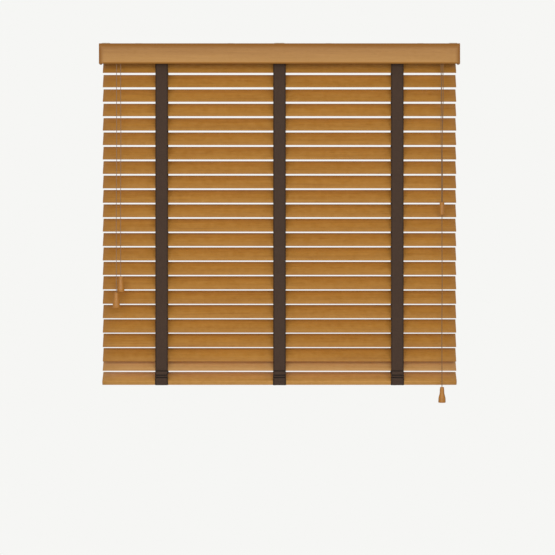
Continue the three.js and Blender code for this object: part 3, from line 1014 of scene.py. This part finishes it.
def lower_front_web():
    """From the split down past the last slats, leaning out as they flatten, then over the rail's
    front edge in folds; and the painted shade of each point, deep in a fold or near the foot."""
    last, rail = slat_spot(SLAT_COUNT), rail_spot()
    clear = WEB["clear"]
    edge = on_board(*last, -SLAT["width"] / 2, SLAT["thick"] / 2)
    corner = on_board(*rail, -RAIL["width"] / 2, RAIL["thick"] / 2)
    under = on_board(*rail, -RAIL["width"] / 2, -RAIL["thick"] / 2)
    top = edge[1]
    line = straight_web(True, WEB_SPLIT, top)
    lean = edge[0] - clear - line[-1][0]
    line = [(y + lean * (WEB_SPLIT - z) / (WEB_SPLIT - top), z) for y, z in line]
    line += gathered(line[-1], (corner[0] - clear, corner[1] + 0.001))
    carry_on(line, (under[0] - clear, under[1] + 0.001), 12)
    # Painted shade near black at the tape's foot, fading out over its last 3 mm.
    foot, dark, fade = line[-1][1], 0.9, 0.003
    painted_tape_shade = [max(crease_at(z, top), dark * max(0.0, 1 - (z - foot) / fade)) for _, z in line]
    return line, painted_tape_shade


def lower_back_web():
    """From the split down past slat 22's back edge to the top of the rail's back edge."""
    before = slat_spot(SLAT_COUNT - 1)
    last, rail = slat_spot(SLAT_COUNT), rail_spot()
    turn = on_board(*before, SLAT["width"] / 2, 0)[1]
    line = straight_web(False, WEB_SPLIT, turn)
    edge = on_board(*last, SLAT["width"] / 2, -SLAT["thick"] / 2)
    corner = on_board(*rail, RAIL["width"] / 2, RAIL["thick"] / 2)
    for y, z in (edge, corner):
        carry_on(line, (y + WEB["clear"], z), 8)
    return line


def hang_tape(name, x, line, nodes, painted_tape_shade=None):
    widths = [WEB["width"] * (1 + SPREAD["share"] * max(0.0, SPREAD["from"] - z)) for _, z in line]
    mesh = web(x, line, widths, painted_tape_shade=painted_tape_shade)
    obj = new_piece(name, mesh, TAPE_CLOTH, smooth=60)
    if nodes:
        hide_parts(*nodes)
    return obj


def tapes():
    """All webs move up and down with the tilt; the lower ones also shorten as the rail rises."""
    for side, x in LADDERS.items():
        for face, top in (("front", WEB["front_top"]), ("back", WEB["back_top"])):
            front = face == "front"
            body, node = "tape_" + face, f"tape_{face}_{side}"
            upper = straight_web(front, top, WEB_SPLIT)
            lower, painted_tape_shade = lower_front_web() if front else (lower_back_web(), None)
            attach(hang_tape(node + "_upper", x, upper, [node]), body)
            shortens = hang_tape(node + "_lower", x, lower, [], painted_tape_shade)
            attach(shortens, body)
            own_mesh(shortens)


def rail_wraps():
    """Where each tape goes round under the rail, both ends lapping onto its top, held by the button."""
    centre, tilt = rail_spot()
    half, deep = RAIL["width"] / 2, RAIL["thick"] / 2
    off = 0.0008
    front = [
        (-half + 0.012, deep + off), (-half + 0.0018, deep + off), (-half - off, deep - 0.0018),
        (-half - off, 0.0), (-half - off, 0.0018 - deep), (-half + 0.0018, -deep - off),
        (-half + 0.005, -deep - off),
    ]
    local = front + [(0.0, -deep - off)] + [(-along, up) for along, up in reversed(front)]
    line = [on_board(centre, tilt, along, up) for along, up in smooth_line(local, 3)]
    for side, x in LADDERS.items():
        widths = [WEB["width"] * 1.02] * len(line)
        obj = new_piece("rail_wrap_" + side, web(x, line, widths), TAPE_CLOTH, 60)
        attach(obj, "bottom_rail")


def rungs():
    """Under each slat, a narrow band from web to web at each ladder, past alternate sides of the cord."""
    for number in range(1, SLAT_COUNT + 1):
        centre, tilt = slat_spot(number)
        aside = -RUNG["aside"] if number % 2 else RUNG["aside"]
        half, under = SLAT["width"] / 2, -SLAT["thick"] / 2 - 0.0006
        local = [
            (-half - 0.0012, under + 0.0022), (-half - 0.0006, under + 0.0006),
            (-half + 0.004, under), (0, under - 0.0002), (half - 0.004, under),
            (half + 0.0006, under + 0.0006), (half + 0.0012, under + 0.0022),
        ]
        line = [on_board(centre, tilt, along, up) for along, up in smooth_line(local, 2)]
        bands = [
            web(x + aside, line, [RUNG["width"]] * len(line), RUNG["thick"])
            for x in LADDERS.values()
        ]
        obj = new_piece(f"rungs_{number:02d}", join(bands), TAPE_CLOTH, smooth=60)
        if number >= FIRST_LIFTED_SLAT:
            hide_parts(f"ladder_rung_{number}")
        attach(obj, slat_name(number))


# ---------- lift cords inside the blind ----------
def lift_cords():
    """Each from its knot in the rail, up through the slats and along the channel to the lock."""
    run_y = {"left": 0.005, "middle": 0.0025, "right": 0.0}
    centre, tilt = rail_spot()
    lock_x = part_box("lift_cord_left")[1].x
    rail_top = on_board(centre, tilt, 0, RAIL["thick"] / 2)[1]
    bend = 0.009
    for side, x in LADDERS.items():
        y = run_y[side]
        foot = rail_top + 0.006
        spots = [
            (x, 0, foot), (x, 0, -0.75), (x, 0, -0.4), (x, 0, LIFT_RUN_Z - 3 * bend),
            (x, 0, LIFT_RUN_Z - bend), (x + 0.3 * bend, 0.3 * y, LIFT_RUN_Z - 0.3 * bend),
            (x + bend, y, LIFT_RUN_Z), (x + 3 * bend, y, LIFT_RUN_Z),
            ((x + lock_x) / 2, y, LIFT_RUN_Z), (lock_x, y, LIFT_RUN_Z),
        ]
        braid = tube(smooth_line(spots, 6), CORD_THICK / 2)
        obj = new_piece(f"lift_cord_{side}_braid", braid, PULL_YARN, 80)
        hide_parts(f"lift_cord_{side}")
        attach(obj, "headrail")
        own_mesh(obj)
        end_z = centre.z - 0.004
        stub = tube([(x, 0, foot), (x, 0, (foot + end_z) / 2), (x, 0, end_z)], CORD_THICK / 2)
        bead = knot((x, 0, end_z), KNOT["lift"])
        end = new_piece(f"lift_knot_{side}", join([stub, bead]), PULL_YARN, 80)
        if side == "middle":
            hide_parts("lift_cord_end")
        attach(end, "rail_carrier")


# ---------- headrail works ----------
def cradles():
    """Nylon cradles that stand in the channel and carry the rod on both sides of each drum."""
    out, slot, half = CRADLE["out"], CRADLE["slot"], CRADLE["thick"] / 2
    sill = slot + CRADLE["overlap"]
    foot = CHANNEL_FLOOR + CHANNEL_THICK
    stands = (
        (-out, -slot, CRADLE["top"]), (slot, out, CRADLE["top"]), (-sill, sill, ROD_Z - slot),
    )
    for side, x in LADDERS.items():
        parts = []
        for end in (x - CRADLE["reach"], x + CRADLE["reach"]):
            parts += [block((end - half, y, foot), (end + half, y_to, top)) for y, y_to, top in stands]
        obj = new_piece("drum_cradle_" + side, join(parts), DRUM_NYLON)
        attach(obj, "headrail")


def bracket_doors():
    """The hinged front plate of each end bracket, snapped shut, with its finger tab."""
    for side in ("left", "right"):
        low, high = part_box("bracket_" + side)
        middle = (low.x + high.x) / 2
        front, foot = low.y - 0.0001, low.z + 0.001
        plate_low = (low.x + 0.001, front - DOOR["thick"], foot)
        plate_high = (high.x - 0.001, front, high.z - 0.002)
        tab_low = (middle - DOOR["tab"] / 2, front - DOOR["tab_out"], foot)
        tab_high = (middle + DOOR["tab"] / 2, front, foot + 0.0012)
        plate = block(plate_low, plate_high, DOOR["arris"])
        tab = block(tab_low, tab_high, DOOR["arris"])
        obj = new_piece(f"bracket_{side}_door", join([plate, tab]), BRACKET_ENAMEL)
        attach(obj, "headrail")


def dress_hardware():
    """The pieces whose own shape is right get their finish."""
    finishes = {
        "headrail": CHANNEL_ENAMEL, "bracket_left": BRACKET_ENAMEL,
        "bracket_right": BRACKET_ENAMEL, "bracket_centre": BRACKET_ENAMEL,
        "tilt_rod": ROD_ZINC, "cord_lock_pawl": ROD_ZINC,
        "tilter_case": HOUSING_PLASTIC, "cord_lock": HOUSING_PLASTIC,
        "tilter_pulley": DRUM_NYLON, "tilt_drum_left": DRUM_NYLON,
        "tilt_drum_middle": DRUM_NYLON, "tilt_drum_right": DRUM_NYLON,
    }
    for node, finish in finishes.items():
        for slot in frame["nodes"][node].material_slots:
            slot.material = finish


# ---------- studio ----------
def studio():
    disc = turned([(0.001, 0.0), (2.2, 0.0), (2.2, -0.02), (0.001, -0.02)], 96)
    disc.transform(Matrix.Translation((0, 0, FLOOR_Z)))
    floor = new_piece("floor", disc, FLOOR_PAINT)
    pale_room()
    soft_light("Front softbox", (0.0, -4.6, 0.35), (0, 0, -0.5), (6.5, 2.3), 105)
    soft_light("Back softbox", (-1.5, 3.5, 1.2), (0, 0, -0.5), (2.5, 2.0), 18)
    bpy.context.scene.view_settings.view_transform = "Standard"


def pale_room():
    """Walls out of sight: pale where they are seen, dimmer as a light on the blind."""
    world = bpy.data.worlds.new("Pale room")
    world.use_nodes = True
    tree = world.node_tree
    seen = place(tree, "ShaderNodeBackground", {"Color": dye(246, 246, 244), "Strength": 1.0})
    glow = tree.nodes["Background"]
    glow.inputs["Color"].default_value = dye(250, 250, 252)
    glow.inputs["Strength"].default_value = 0.42
    facing = place(tree, "ShaderNodeLightPath").outputs["Is Camera Ray"]
    inputs = {0: facing, 1: glow.outputs[0], 2: seen.outputs[0]}
    walls = place(tree, "ShaderNodeMixShader", inputs)
    tree.links.new(walls.outputs[0], tree.nodes["World Output"].inputs["Surface"])
    bpy.context.scene.world = world


def soft_light(name, spot, aim, size, power):
    lamp = bpy.data.lights.new(name, "AREA")
    lamp.shape = "RECTANGLE"
    lamp.size, lamp.size_y = size
    lamp.energy = power
    lamp.color = (1.0, 0.97, 0.93)
    obj = bpy.data.objects.new(name, lamp)
    obj.location = spot
    obj.rotation_euler = (Vector(aim) - Vector(spot)).to_track_quat("-Z", "Y").to_euler()
    bpy.context.scene.collection.objects.link(obj)


camera()
tilt_cords()
pull_cords()
lift_cords()
slats()
bottom_rail()
rail_buttons()
valance()
valance_clips()
tapes()
rail_wraps()
rungs()
cradles()
bracket_doors()
dress_hardware()
studio()
